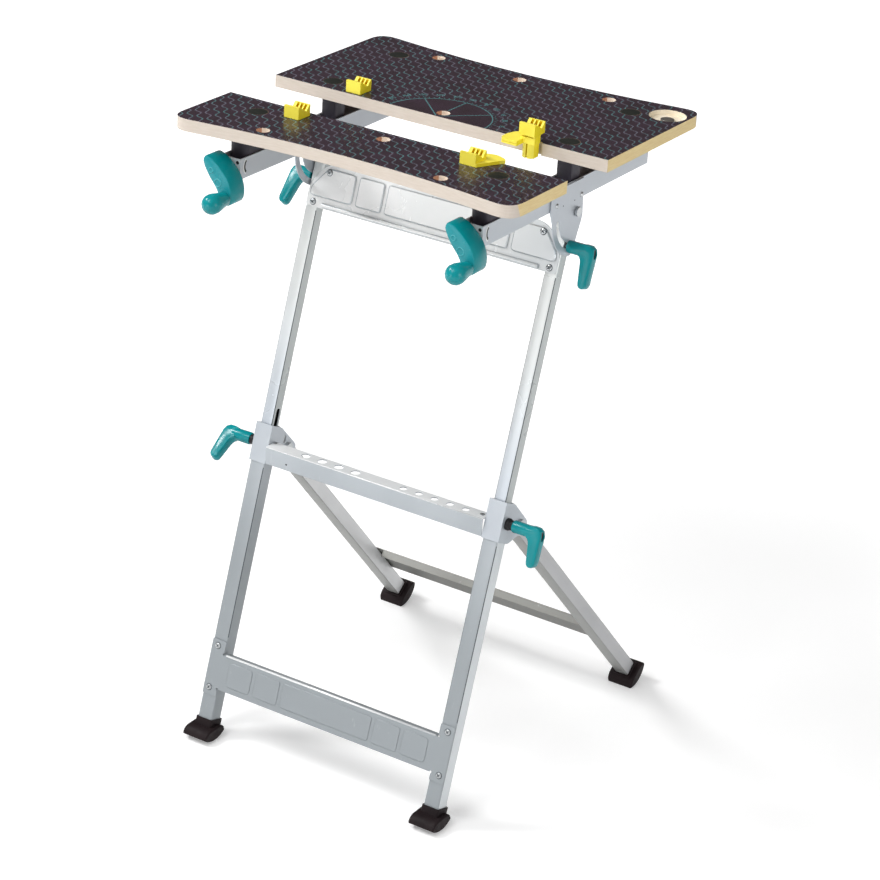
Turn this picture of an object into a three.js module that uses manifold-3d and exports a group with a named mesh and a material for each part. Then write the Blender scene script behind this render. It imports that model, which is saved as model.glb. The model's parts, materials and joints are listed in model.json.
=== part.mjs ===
// Folding workbench: two crank-driven plywood jaws on a tilting, height-adjustable folding frame.
// Millimetres, +Z up, the user stands on the -Y side. Origin: centre of the footprint, on the floor.
import * as THREE from 'three';
import { mergeVertices } from 'three/addons/utils/BufferGeometryUtils.js';
import Module from 'manifold-3d';

const wasm = await Module();
wasm.setup();

// Design dimensions are measured from the front edge of the rear jaw (y = 0); the finished bench is
// moved by this much so that its bounding box is centred on the origin.
const CENTRE_Y = 20;

// Table boards
const TABLE_Z = 970;
const BOARD_T = 18;
const BOARD_HALF = 277.5;
const JAW_GAP = 108.5;
const FRONT_CORNER_Y = -251;
const REAR_CORNER_Y = 277.5;
const EDGE_SAG = 24.6;
const CORNER_CUT = 32;
const DOG_HOLE_R = 10;
const DOG_X = 144.5;
const FRONT_DOG_Y = -133.6;
const REAR_DOG_Y = 18;
const EDGE_DOG = [160, -8];
const EDGE_DOG_R = 12;
const SEAT_HALF = 12.5;
const SEAT_DEPTH = 4.5;
const RECESS = [246, 226];
const RECESS_R = 27;
const RECESS_DEPTH = 7.5;

// Rails, posts and sliders
const RAIL_X = 198;
const RAIL_W = 34;
const RAIL_Z0 = 888;
const RAIL_Z1 = 919;
const RAIL_Y0 = -214;
const RAIL_Y1 = 236;
const RAIL_WALL = 1.8;
const POST_SIZE = 25;
const POST_Y = [35, 204];
const SLIDER_W = 29;
const SLIDER_Y = [-198, -108.5];

// Spindles and cranks
const SPINDLE_Z = 902;
const SPINDLE_R = 5;
const SPINDLE_END_Y = 12;
const CRANK_Y = [-252, -217.5];
const GRIP_AT = [20, -29];
const GRIP_R = 14.6;
const GRIP_END_Y = -296;

// Front legs: one line from the floor to the tilt pivot
const FRONT_LEAN = THREE.MathUtils.degToRad(16.8);
const FRONT_FLOOR_Y = -231.1;
const LEG_X = 203.6;
const LOWER_TUBE = 25;
const UPPER_TUBE = 20;
const TUBE_WALL = 1.5;
const LOWER_TOP_S = 487;
const UPPER_BOTTOM_S = 300;
const TILT_PIVOT_S = 911.7;
const TILT_CLAMP_R = 50;
const HEIGHT_CLAMP_S = 458.3;
const SLOT_S = [410, 514.7];
const SLOT_W = 9;
const BOLT_R = 4;
const BOLT_HOLE_R = 4.4;

// Rear legs
const REAR_LEAN = THREE.MathUtils.degToRad(43);
const REAR_FLOOR_Y = 334;
const REAR_PIVOT_Z = 425;
const REAR_SPLAY = 15.5;
const REAR_TUBE = 23.6;
const REAR_OVERRUN = 21;

// Feet: lens-shaped soles; the rear ones lie across their legs, the front ones lie level
const SOLE_WIDTH = 49;
const SOLE_R = 36.5;
const SOLE_SAG = 9.5;
const SOLE_RISE = 11;
const SOLE_LENGTH = 44;
const NECK_SIZE = 29;
const NECK_TOP = 19;
const FRONT_SOLE_Y = -236;
const REAR_SOLE_TILT = THREE.MathUtils.degToRad(36);
const REAR_SOLE_SHIFT = -4.2;
const TUBE_END_S = 18.6;

const GAP = 0.3;
const SEGMENTS = 8;

const X_AXIS = new THREE.Vector3(1, 0, 0);
const PAINT = { silver: [0xc3c7cc, 0.45, 0.7], bright: [0xd9dbdd, 0.3, 0.9], steel: [0x8f9296, 0.4, 0.9],
  teal: [0x00868a, 0.45, 0.0], yellow: [0xf0e02c, 0.45, 0.0], black: [0x241f21, 0.7, 0.0],
  charcoal: [0x38353c, 0.6, 0.0], wood: [0x3b3038, 0.5, 0.0], zinc: [0xb4b7ba, 0.35, 0.95] };

// A closed mesh as a solid that can be joined and cut.
function solid(geometry) {
  const plain = geometry.index ? geometry.toNonIndexed() : geometry.clone();
  plain.deleteAttribute('normal');
  plain.deleteAttribute('uv');
  const merged = mergeVertices(plain, 1e-4);
  const corners = merged.index.array;
  const kept = [];
  for (let i = 0; i < corners.length; i += 3) {
    const [a, b, c] = [corners[i], corners[i + 1], corners[i + 2]];
    if (a !== b && b !== c && a !== c) {
      kept.push(a, b, c);
    }
  }
  return new wasm.Manifold(new wasm.Mesh({
    numProp: 3,
    vertProperties: new Float32Array(merged.attributes.position.array),
    triVerts: new Uint32Array(kept),
  }));
}

function geometryOf(body) {
  const mesh = body.getMesh();
  const geometry = new THREE.BufferGeometry();
  geometry.setAttribute('position', new THREE.BufferAttribute(new Float32Array(mesh.vertProperties), 3));
  geometry.setIndex(new THREE.BufferAttribute(new Uint32Array(mesh.triVerts), 1));
  return geometry;
}

function mirrored(geometry) {
  const copy = geometry.clone();
  copy.scale(-1, 1, 1);
  const corners = copy.index.array;
  for (let i = 0; i < corners.length; i += 3) {
    const held = corners[i + 1];
    corners[i + 1] = corners[i + 2];
    corners[i + 2] = held;
  }
  return copy;
}

// A polygon with its corners eased by the given distance (one number, or one per corner).
function outline(points, ease = 0) {
  const shape = new THREE.Shape();
  const count = points.length;
  points.forEach((point, i) => {
    const cut = Array.isArray(ease) ? ease[i] : ease;
    const here = new THREE.Vector2(...point);
    const before = new THREE.Vector2(...points[(i + count - 1) % count]).sub(here);
    const after = new THREE.Vector2(...points[(i + 1) % count]).sub(here);
    const start = here.clone().add(before.setLength(Math.min(cut, before.length() / 2.01)));
    const end = here.clone().add(after.setLength(Math.min(cut, after.length() / 2.01)));
    if (i === 0) {
      shape.moveTo(start.x, start.y);
    } else {
      shape.lineTo(start.x, start.y);
    }
    if (cut > 0) {
      shape.quadraticCurveTo(here.x, here.y, end.x, end.y);
    }
  });
  shape.closePath();
  return shape;
}

function rectangle(x0, y0, x1, y1, ease = 0) {
  return outline([[x0, y0], [x1, y0], [x1, y1], [x0, y1]], ease);
}

function disc(x, y, radius) {
  const shape = new THREE.Shape();
  shape.absarc(x, y, radius, 0, Math.PI * 2, false);
  return shape;
}

// A path drawn from several arcs, with the doubled points where they meet taken out.
function distinct(path, divisions) {
  const kept = [];
  for (const point of path.getPoints(divisions)) {
    const clear = (other) => other.distanceTo(point) > 0.01;
    if (kept.length === 0 || (clear(kept[kept.length - 1]) && clear(kept[0]))) {
      kept.push(point);
    }
  }
  return new THREE.Shape(THREE.ShapeUtils.isClockWise(kept) ? kept.reverse() : kept);
}

// Extrudes a shape and lays it on the axes (u, v, u x v) at the origin point.
function prism(shape, u, v, origin, from, to, options = {}) {
  const bevel = options.bevel ?? 0;
  const geometry = new THREE.ExtrudeGeometry(shape, {
    depth: to - from - 2 * bevel,
    steps: 1,
    curveSegments: options.segments ?? SEGMENTS,
    bevelEnabled: bevel > 0,
    bevelThickness: bevel,
    bevelSize: bevel,
    bevelOffset: -bevel,
    bevelSegments: options.bevelSegments ?? 2,
  });
  const w = new THREE.Vector3().crossVectors(u, v);
  const matrix = new THREE.Matrix4().makeBasis(u, v, w);
  matrix.setPosition(origin.clone().addScaledVector(w, from + bevel));
  return solid(geometry.applyMatrix4(matrix));
}

const ZERO = new THREE.Vector3();
const Y_AXIS = new THREE.Vector3(0, 1, 0);
const Z_AXIS = new THREE.Vector3(0, 0, 1);
const alongX = (shape, x0, x1, options) => prism(shape, Y_AXIS, Z_AXIS, ZERO, x0, x1, options);
const alongY = (shape, y0, y1, options) => prism(shape, Z_AXIS, X_AXIS, ZERO, y0, y1, options);
const alongZ = (shape, z0, z1, options) => prism(shape, X_AXIS, Y_AXIS, ZERO, z0, z1, options);

// A turned body about the axis through origin: profile is [radius, distance along the axis].
function turned(profile, axis, origin, segments = 20) {
  const points = profile.map(([radius, height]) => new THREE.Vector2(radius, height));
  const geometry = new THREE.LatheGeometry(points, segments);
  const turn = new THREE.Quaternion().setFromUnitVectors(Y_AXIS, axis);
  geometry.applyQuaternion(turn);
  geometry.translate(origin.x, origin.y, origin.z);
  return solid(geometry);
}

const rod = (radius, axis, origin, from, to, segments = 20) => turned(
  [[0, from], [radius, from], [radius, to], [0, to]], axis, origin, segments);

// The line of a leg: along points up the leg, side is across the bench, out = side x along.
function legLine(foot, along, across) {
  const side = across.clone().addScaledVector(along, -across.dot(along)).normalize();
  const out = new THREE.Vector3().crossVectors(side, along);
  const at = (s, n = 0, x = 0) => foot.clone().addScaledVector(along, s).addScaledVector(out, n)
    .addScaledVector(side, x);
  return { foot, along, side, out, at };
}

const front = legLine(new THREE.Vector3(0, FRONT_FLOOR_Y, 0),
  new THREE.Vector3(0, Math.sin(FRONT_LEAN), Math.cos(FRONT_LEAN)), X_AXIS);
const rear = legLine(new THREE.Vector3(0, REAR_FLOOR_Y, 0),
  new THREE.Vector3(0, -Math.sin(REAR_LEAN), Math.cos(REAR_LEAN)), X_AXIS);
const REAR_PIVOT_S = REAR_PIVOT_Z / Math.cos(REAR_LEAN);
const rearPivot = rear.at(REAR_PIVOT_S, 0, LEG_X);
const tiltPivot = front.at(TILT_PIVOT_S, 0, 0);
const rearRight = legLine(new THREE.Vector3(LEG_X + REAR_SPLAY, REAR_FLOOR_Y, 0),
  rearPivot.clone().sub(new THREE.Vector3(LEG_X + REAR_SPLAY, REAR_FLOOR_Y, 0)).normalize(), X_AXIS);

// Plates lying on a leg plane (x, s), profiles seen from the side (s, n), and bars along the leg.
const onPlane = (line, shape, n0, n1, options) => prism(shape, line.side, line.along, line.foot, n0, n1,
  options);
const fromSide = (line, shape, x0, x1, options) => prism(shape, line.along, line.out, line.foot, x0, x1,
  options);
const alongLeg = (line, shape, s0, s1, options) => prism(shape, line.side, line.out.clone().negate(),
  line.foot, s0, s1, options);

function tube(line, x, size, s0, s1) {
  const half = size / 2;
  const bore = half - TUBE_WALL;
  const shape = rectangle(x - half, -half, x + half, half, 3);
  shape.holes.push(rectangle(x - bore, -bore, x + bore, bore, 2));
  return alongLeg(line, shape, s0, s1, { segments: 3 });
}

const bench = new THREE.Group();
bench.name = 'folding_workbench';

function body(name) {
  const group = new THREE.Group();
  group.name = name;
  bench.add(group);
  return group;
}

function add(group, name, geometry, paint) {
  const [color, roughness, metalness] = PAINT[paint];
  const placed = geometry.toNonIndexed();
  placed.translate(0, -CENTRE_Y, 0);
  placed.computeVertexNormals();
  const mesh = new THREE.Mesh(placed, new THREE.MeshStandardMaterial({ color, roughness, metalness }));
  mesh.name = name;
  group.add(mesh);
}

function addPair(group, name, right, paint) {
  const geometry = geometryOf(right);
  add(group, name + '_r', geometry, paint);
  add(group, name + '_l', mirrored(geometry), paint);
}

// Base frame
const base = body('base_frame');

function lowerLeg() {
  const hole = rod(BOLT_HOLE_R, X_AXIS, front.at(HEIGHT_CLAMP_S), LEG_X - 20, LEG_X + 20, 12);
  return tube(front, LEG_X, LOWER_TUBE, TUBE_END_S, LOWER_TOP_S).subtract(hole);
}

function collar() {
  const inner = LEG_X - LOWER_TUBE / 2 - GAP;
  const outer = LEG_X + LOWER_TUBE / 2 + GAP;
  const sheet = 1.5;
  const face = LOWER_TUBE / 2 + GAP;
  const ear = outline([[431.4, face + sheet], [490, face + sheet], [486.5, -12], [457.5, -62],
    [436, -57], [437.3, -38], [431.7, -27], [427, -15]], [1, 1, 5, 7, 7, 5, 5, 5]);
  ear.holes.push(disc(HEIGHT_CLAMP_S, 0, BOLT_HOLE_R));
  const pivot = front.foot.clone().sub(rearPivot).negate();
  ear.holes.push(disc(pivot.dot(front.along), pivot.dot(front.out), BOLT_HOLE_R));
  const innerEar = ear.clone();
  innerEar.holes.push(rectangle(462, -30, 474, -24, 2.8));
  const wrap = onPlane(front, rectangle(inner - sheet, 431.4, outer + sheet, 490), face, face + sheet);
  return fromSide(front, innerEar, inner - sheet, inner, { segments: 4 })
    .add(fromSide(front, ear, outer, outer + sheet, { segments: 4 }))
    .add(wrap);
}

function toolTray() {
  const half = LEG_X - LOWER_TUBE / 2 - 2.2;
  const section = outline([[-119, 417.6], [-117.5, 417.6], [-117.5, 443.5], [-96, 443.5], [-96, 445],
    [-119, 445]], [0, 0, 0, 0, 0, 1.5]);
  let tray = alongX(section, -half, half, { segments: 3 });
  const holes = [[-125, 7.2], [-95.5, 7.2], [-66, 7.2], [-36.5, 7.2], [47, 5.6], [73.6, 5.6], [100.3, 5.6],
    [127, 5.6], [153.7, 5.6]];
  for (const [x, radius] of holes) {
    tray = tray.subtract(rod(radius, Z_AXIS, new THREE.Vector3(x, -107, 0), 435, 450, 12));
  }
  for (const x of [-half - 1, half - 6]) {
    tray = tray.subtract(rod(7.6, X_AXIS, front.at(HEIGHT_CLAMP_S, 0, x), 0, 7, 16));
  }
  return tray;
}

// Pressed fields of a cross panel: mirrored pairs and one in the middle, with narrow grooves between.
const FIELD_EDGES = [79, 85, 129, 135];

function fields(line, s0, s1, outer, n0, n1) {
  const [middle, inner, outside, last] = FIELD_EDGES;
  const bevel = { bevel: (n1 - n0) * 0.6, bevelSegments: 1, segments: 2 };
  let pressed = onPlane(line, rectangle(-middle, s0, middle, s1, 4), n0, n1, bevel);
  for (const side of [-1, 1]) {
    const [near, far] = side > 0 ? [inner, outside] : [-outside, -inner];
    pressed = pressed.add(onPlane(line, rectangle(near, s0, far, s1, 4), n0, n1, bevel));
    const corners = outer.map(([x, s]) => [side * x, s]);
    const shape = [[side * last, s1], [side * last, s0], ...corners];
    pressed = pressed.add(onPlane(line, outline(side > 0 ? shape : shape.reverse(), 6), n0, n1, bevel));
  }
  return pressed;
}

// Cross panel: sheet with a tab at each corner, relief notches beside the tabs and a flange folded back
// along the top edge.
function lowerPanel() {
  const face = LOWER_TUBE / 2 + GAP;
  const tab = LEG_X + 12;
  const web = 191.5;
  const [bottom, low, high, top] = [67, 78.5, 133.5, 153];
  const sheet = outline([[-tab, bottom], [-web, bottom], [-web, low], [web, low], [web, bottom], [tab, bottom],
    [tab, top], [web, top], [web, high], [-web, high], [-web, top], [-tab, top]],
  [2, 2, 0, 0, 2, 2, 2, 2, 0, 0, 2, 2]);
  const flange = rectangle(-web + 3, high - 1.5, web - 3, high);
  let panel = onPlane(front, sheet, face, face + 1.5, { segments: 3 })
    .add(onPlane(front, flange, face - 12, face + 1))
    .add(fields(front, 87, 125, [[178, 87], [178, 125]], face + 1, face + 2.4));
  for (const x of [-web, web]) {
    for (const s of [low, high]) {
      panel = panel.subtract(rod(2, front.out, front.at(s, 0, x), face - 2, face + 4, 10));
    }
  }
  return panel;
}

// Foot: a square socket for the tube on a lens-shaped sole that lies across the bench. The arc under the
// sole touches the floor below its centre; tilt is the lean of the sole's chord.
function foot(line, x, tubeSize, soleX, chordY, tilt) {
  const half = SOLE_WIDTH / 2;
  const lift = SOLE_R - SOLE_SAG;
  const sole = new THREE.Shape();
  const reach = Math.asin(half / SOLE_R);
  sole.absarc(0, lift, SOLE_R, -Math.PI / 2 - reach, -Math.PI / 2 + reach, false);
  sole.bezierCurveTo(half - 1, SOLE_RISE * 0.7, half * 0.6, SOLE_RISE, half * 0.4, SOLE_RISE);
  sole.lineTo(-half * 0.4, SOLE_RISE);
  sole.bezierCurveTo(-half * 0.6, SOLE_RISE, 1 - half, SOLE_RISE * 0.7, -half, lift - SOLE_R * Math.cos(reach));
  const chord = new THREE.Vector3(0, chordY, SOLE_R - lift * Math.cos(tilt));
  const across = new THREE.Vector3(0, Math.cos(tilt), Math.sin(tilt));
  const up = new THREE.Vector3(0, -Math.sin(tilt), Math.cos(tilt));
  const level = chord.z / line.along.z;
  const neckHalf = NECK_SIZE / 2;
  const neck = alongLeg(line, rectangle(x - neckHalf, -neckHalf, x + neckHalf, neckHalf, 3), level - 1,
    level + NECK_TOP, { segments: 3 });
  const bore = tubeSize / 2 + GAP;
  const socket = alongLeg(line, rectangle(x - bore, -bore, x + bore, bore, 2.6), TUBE_END_S - GAP,
    level + NECK_TOP + 5, { segments: 3 });
  return prism(distinct(sole, 5), across, up, chord, soleX - SOLE_LENGTH / 2, soleX + SOLE_LENGTH / 2,
    { bevel: 2, bevelSegments: 1 })
    .add(neck)
    .subtract(socket);
}

const boltProfile = (head, length) => [[0, -head], [5.5, -head], [7, -head + 1.5], [7, 0], [BOLT_R, 0],
  [BOLT_R, length], [0, length]];

// Guide bolt: held in the inner wall of the lower leg, it runs in the slot of the upper leg.
function guideBolt() {
  return turned(boltProfile(5, 16), X_AXIS, front.at(HEIGHT_CLAMP_S, 0, LEG_X - 14.6), 12);
}

function rearPivotBolt() {
  const profile = [[0, -4.5], [7, -4.5], [7, 0], [BOLT_R, 0], [BOLT_R, 29.2], [7, 29.2], [7, 33], [0, 33]];
  return turned(profile, X_AXIS, rearPivot.clone().addScaledVector(X_AXIS, -14.6), 12);
}

addPair(base, 'lower_leg', lowerLeg(), 'silver');
addPair(base, 'leg_collar', collar(), 'silver');
add(base, 'tool_tray', geometryOf(toolTray()), 'silver');
add(base, 'lower_front_panel', geometryOf(lowerPanel()), 'silver');
addPair(base, 'front_foot', foot(front, LEG_X, LOWER_TUBE, LEG_X, FRONT_SOLE_Y, 0), 'black');
addPair(base, 'height_guide_bolt', guideBolt(), 'zinc');
addPair(base, 'rear_pivot_bolt', rearPivotBolt(), 'zinc');

// Rear frame
const back = body('rear_frame');

function rearLeg() {
  const top = rearPivot.clone().sub(rearRight.foot).length();
  const hole = rod(BOLT_HOLE_R, X_AXIS, rearPivot, -20, 20, 12);
  return tube(rearRight, 0, REAR_TUBE, TUBE_END_S, top + REAR_OVERRUN).subtract(hole);
}

function rearPanel() {
  const face = -REAR_TUBE / 2 - GAP - 0.3;
  const sheet = onPlane(rear, rectangle(-221, 97, 221, 174, 6), face - 1.5, face, { segments: 4 });
  const web = LEG_X - 6;
  const field = rectangle(-web + 12, 108, web - 12, 163, 8);
  const flange = rectangle(-web + 6, 172.4, web - 6, 173.9);
  return sheet
    .add(onPlane(rear, field, face - 4, face - 1, { bevel: 1.4, bevelSegments: 1, segments: 5 }))
    .add(onPlane(rear, flange, face - 1, face + 11));
}

addPair(back, 'rear_leg', rearLeg(), 'silver');
add(back, 'rear_panel', geometryOf(rearPanel()), 'silver');
const rearChordZ = SOLE_R - (SOLE_R - SOLE_SAG) * Math.cos(REAR_SOLE_TILT);
const rearSoleY = rear.at(rearChordZ / rear.along.z).y + REAR_SOLE_SHIFT;
addPair(back, 'rear_foot', foot(rearRight, 0, REAR_TUBE, LEG_X + REAR_SPLAY - 0.9, rearSoleY, REAR_SOLE_TILT),
  'black');

// Upper frame
const upper = body('upper_frame');

function upperLeg() {
  const slot = rectangle(SLOT_S[0], -SLOT_W / 2, SLOT_S[1], SLOT_W / 2, SLOT_W / 2);
  const pivotHole = rod(BOLT_HOLE_R, X_AXIS, tiltPivot, LEG_X - 20, LEG_X + 20, 12);
  const clampHole = rod(BOLT_HOLE_R, X_AXIS, front.at(TILT_PIVOT_S - TILT_CLAMP_R), LEG_X - 20, LEG_X + 20, 12);
  return tube(front, LEG_X, UPPER_TUBE, UPPER_BOTTOM_S, TILT_PIVOT_S + 9.5)
    .subtract(fromSide(front, slot, LEG_X - 20, LEG_X, { segments: 4 }))
    .subtract(pivotHole)
    .subtract(clampHole);
}

function legGuide() {
  const plug = UPPER_TUBE / 2 - TUBE_WALL - GAP;
  const skirt = LOWER_TUBE / 2 - TUBE_WALL - GAP;
  return alongLeg(front, rectangle(LEG_X - plug, -plug, LEG_X + plug, plug, 2), UPPER_BOTTOM_S - 1,
    UPPER_BOTTOM_S + 22, { segments: 3 })
    .add(alongLeg(front, rectangle(LEG_X - skirt, -skirt, LEG_X + skirt, skirt, 2.4), UPPER_BOTTOM_S - 8,
      UPPER_BOTTOM_S - GAP, { segments: 3 }));
}

// Bright pressed panel between the upper legs, with rounded shoulders and a rolled lip at the bottom edge.
function upperPanel() {
  const face = UPPER_TUBE / 2 + GAP;
  const wide = LEG_X + 9;
  const sheet = outline([[-wide, 820], [wide, 820], [wide, 850], [192, 880], [176, 888], [-176, 888],
    [-192, 880], [-wide, 850]], [4, 4, 10, 10, 10, 10, 10, 10]);
  const lip = disc(825, face + 3, 3.2);
  return onPlane(front, sheet, face, face + 1.5, { segments: 4 })
    .add(fields(front, 836, 880, [[wide - 4, 836], [wide - 4, 849], [184, 880]], face + 1, face + 4))
    .add(fromSide(front, lip, -184, 184, { segments: 6 }));
}

function tiltPivotBolt() {
  const profile = [[0, -4.5], [7, -4.5], [7, 0], [BOLT_R, 0], [BOLT_R, 25], [7.2, 25], [7.2, 29], [0, 29]];
  return turned(profile, X_AXIS, tiltPivot.clone().setX(LEG_X - 10.5), 12);
}

function tiltClampBolt() {
  return turned(boltProfile(4.5, 36), X_AXIS, front.at(TILT_PIVOT_S - TILT_CLAMP_R, 0, LEG_X - 10.5), 12);
}

addPair(upper, 'upper_leg', upperLeg(), 'bright');
addPair(upper, 'leg_guide', legGuide(), 'black');
add(upper, 'upper_panel', geometryOf(upperPanel()), 'bright');
addPair(upper, 'tilt_pivot_bolt', tiltPivotBolt(), 'zinc');
addPair(upper, 'tilt_clamp_bolt', tiltClampBolt(), 'zinc');

// Tilting table
const table = body('table');

function jawOutline(straightY, cornerY) {
  const inward = Math.sign(straightY - cornerY);
  const end = BOARD_HALF - CORNER_CUT;
  const edgeY = cornerY + inward * EDGE_SAG * (1 - (end / BOARD_HALF) ** 2);
  const middleY = edgeY + inward * EDGE_SAG * 2 * (end / BOARD_HALF) ** 2;
  const shape = new THREE.Shape();
  shape.moveTo(-BOARD_HALF, straightY);
  shape.lineTo(BOARD_HALF, straightY);
  shape.lineTo(BOARD_HALF, cornerY + inward * CORNER_CUT);
  shape.quadraticCurveTo(BOARD_HALF, cornerY, end, edgeY);
  shape.quadraticCurveTo(0, middleY, -end, edgeY);
  shape.quadraticCurveTo(-BOARD_HALF, cornerY, -BOARD_HALF, cornerY + inward * CORNER_CUT);
  shape.closePath();
  return shape;
}

function rearJaw() {
  const shape = jawOutline(0, REAR_CORNER_Y);
  const holes = [[-146, 232.5], [0, 224], [146, 232.5], [0, REAR_DOG_Y], [-DOG_X, REAR_DOG_Y]];
  for (const [x, y] of holes) {
    shape.holes.push(disc(x, y, DOG_HOLE_R));
  }
  const recess = rod(RECESS_R, Z_AXIS, new THREE.Vector3(...RECESS, 0), TABLE_Z - RECESS_DEPTH, TABLE_Z + 5, 28);
  const seatX = EDGE_DOG[0];
  const seat = alongZ(rectangle(seatX - SEAT_HALF, -20, seatX + SEAT_HALF, SEAT_DEPTH, 4), TABLE_Z - 30, TABLE_Z + 5);
  return alongZ(shape, TABLE_Z - BOARD_T, TABLE_Z).subtract(recess).subtract(seat);
}

function rail() {
  const x0 = RAIL_X - RAIL_W / 2;
  const x1 = RAIL_X + RAIL_W / 2;
  const floor = RAIL_Z0 + RAIL_WALL;
  const section = outline([[RAIL_Z0, x0], [RAIL_Z0, x1], [RAIL_Z1, x1], [RAIL_Z1, x1 - RAIL_WALL],
    [floor, x1 - RAIL_WALL], [floor, x0 + RAIL_WALL], [RAIL_Z1, x0 + RAIL_WALL], [RAIL_Z1, x0]],
  [3, 3, 0, 0, 1.5, 1.5, 0, 0]);
  const endPlate = rectangle(RAIL_Z0 + 0.2, x0, RAIL_Z1, x1, 2);
  const bearing = rectangle(RAIL_Z0 + 0.2, x0, RAIL_Z1, x1, 2);
  bearing.holes.push(disc(SPINDLE_Z, RAIL_X, SPINDLE_R + 1));
  return alongY(section, RAIL_Y0, RAIL_Y1, { segments: 3 })
    .add(alongY(bearing, RAIL_Y0, RAIL_Y0 + 2, { segments: 6 }))
    .add(alongY(endPlate, RAIL_Y1 - 2, RAIL_Y1, { segments: 3 }));
}

function post(y) {
  const half = POST_SIZE / 2;
  return alongZ(rectangle(RAIL_X - half, y - half, RAIL_X + half, y + half, 3), RAIL_Z0 + RAIL_WALL + GAP,
    TABLE_Z - BOARD_T - GAP, { segments: 3 });
}

// Tilt bracket: hangs from the rail beside the leg, with an arc slot around the tilt pivot.
function tiltBracket() {
  const [py, pz] = [tiltPivot.y, tiltPivot.z];
  const rest = Math.atan2(-front.along.z, -front.along.y);
  const rim = 64;
  const shape = new THREE.Shape();
  const top = RAIL_Z1 - 0.5;
  shape.moveTo(py + 15, top);
  shape.lineTo(py + 15.5, 896);
  shape.lineTo(py + 18, 865);
  shape.quadraticCurveTo(py + 16, 854, py + 8, 840);
  shape.lineTo(py + 1, 824);
  const end = rest + 0.12;
  shape.quadraticCurveTo(py - 2, 812, py + rim * Math.cos(end), pz + rim * Math.sin(end));
  shape.absarc(py, pz, rim, end, -Math.PI * 0.985, true);
  shape.lineTo(py - 72, 889);
  shape.lineTo(py - 72, top);
  shape.closePath();
  const slot = new THREE.Path();
  const open = TILT_CLAMP_R + BOLT_HOLE_R;
  const inner = TILT_CLAMP_R - BOLT_HOLE_R;
  const far = rest - THREE.MathUtils.degToRad(67);
  slot.absarc(py, pz, open, rest, far, true);
  slot.absarc(py + TILT_CLAMP_R * Math.cos(far), pz + TILT_CLAMP_R * Math.sin(far), BOLT_HOLE_R, far, far - Math.PI,
    true);
  slot.absarc(py, pz, inner, far, rest, false);
  slot.absarc(py + TILT_CLAMP_R * Math.cos(rest), pz + TILT_CLAMP_R * Math.sin(rest), BOLT_HOLE_R, rest + Math.PI,
    rest, true);
  const plate = distinct(shape, 5);
  plate.holes.push(distinct(slot, 5));
  plate.holes.push(disc(py, pz, BOLT_HOLE_R));
  const face = RAIL_X + RAIL_W / 2 + GAP;
  return alongX(plate, face, face + 2, { segments: 7 });
}

add(table, 'rear_jaw', geometryOf(rearJaw()), 'wood');
addPair(table, 'rail', rail(), 'silver');
addPair(table, 'post_front', post(POST_Y[0]), 'charcoal');
addPair(table, 'post_rear', post(POST_Y[1]), 'charcoal');
addPair(table, 'tilt_bracket', tiltBracket(), 'silver');
const magnet = rod(10, Z_AXIS, new THREE.Vector3(...RECESS, 0), TABLE_Z - RECESS_DEPTH + GAP,
  TABLE_Z - RECESS_DEPTH + 2.5, 24);
add(table, 'parts_magnet', geometryOf(magnet), 'black');

// Sliding front jaw
const slide = body('front_jaw_slide');

function frontJaw() {
  const shape = jawOutline(-JAW_GAP, FRONT_CORNER_Y);
  const holes = [[-DOG_X, -213.5], [DOG_X, -213.5], [-DOG_X, FRONT_DOG_Y], [0, FRONT_DOG_Y], [DOG_X, FRONT_DOG_Y]];
  for (const [x, y] of holes) {
    shape.holes.push(disc(x, y, DOG_HOLE_R));
  }
  return alongZ(shape, TABLE_Z - BOARD_T, TABLE_Z);
}

function slider() {
  const [y0, y1] = SLIDER_Y;
  const half = SLIDER_W / 2;
  const shape = outline([[RAIL_X - half, y0], [RAIL_X + half, y0], [RAIL_X + half, y1], [RAIL_X - half, y1]],
    [9, 9, 2, 2]);
  const bore = rod(SPINDLE_R + 0.5, Y_AXIS, new THREE.Vector3(RAIL_X, 0, SPINDLE_Z), y0 - 5, y1 + 5, 20);
  return alongZ(shape, RAIL_Z0 + RAIL_WALL + 0.5, TABLE_Z - BOARD_T - GAP, { segments: 5 }).subtract(bore);
}

add(slide, 'front_jaw', geometryOf(frontJaw()), 'wood');
addPair(slide, 'jaw_slider', slider(), 'charcoal');

// Cranks: both are the same part, so the left one is moved across, not mirrored.
function spindle() {
  const axis = new THREE.Vector3(RAIL_X, 0, SPINDLE_Z);
  const rear0 = RAIL_Y0 + 2;
  const profile = [[0, CRANK_Y[1] - 15], [SPINDLE_R, CRANK_Y[1] - 15], [SPINDLE_R, CRANK_Y[1] + 1],
    [8, CRANK_Y[1] + 1], [8, RAIL_Y0 - 0.6], [SPINDLE_R, RAIL_Y0 - 0.6], [SPINDLE_R, rear0 + 0.6],
    [8, rear0 + 0.6], [8, rear0 + 4], [SPINDLE_R, rear0 + 4], [SPINDLE_R, SPINDLE_END_Y - 2],
    [SPINDLE_R - 2, SPINDLE_END_Y], [0, SPINDLE_END_Y]];
  return turned(profile, Y_AXIS, axis, 12);
}

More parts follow.
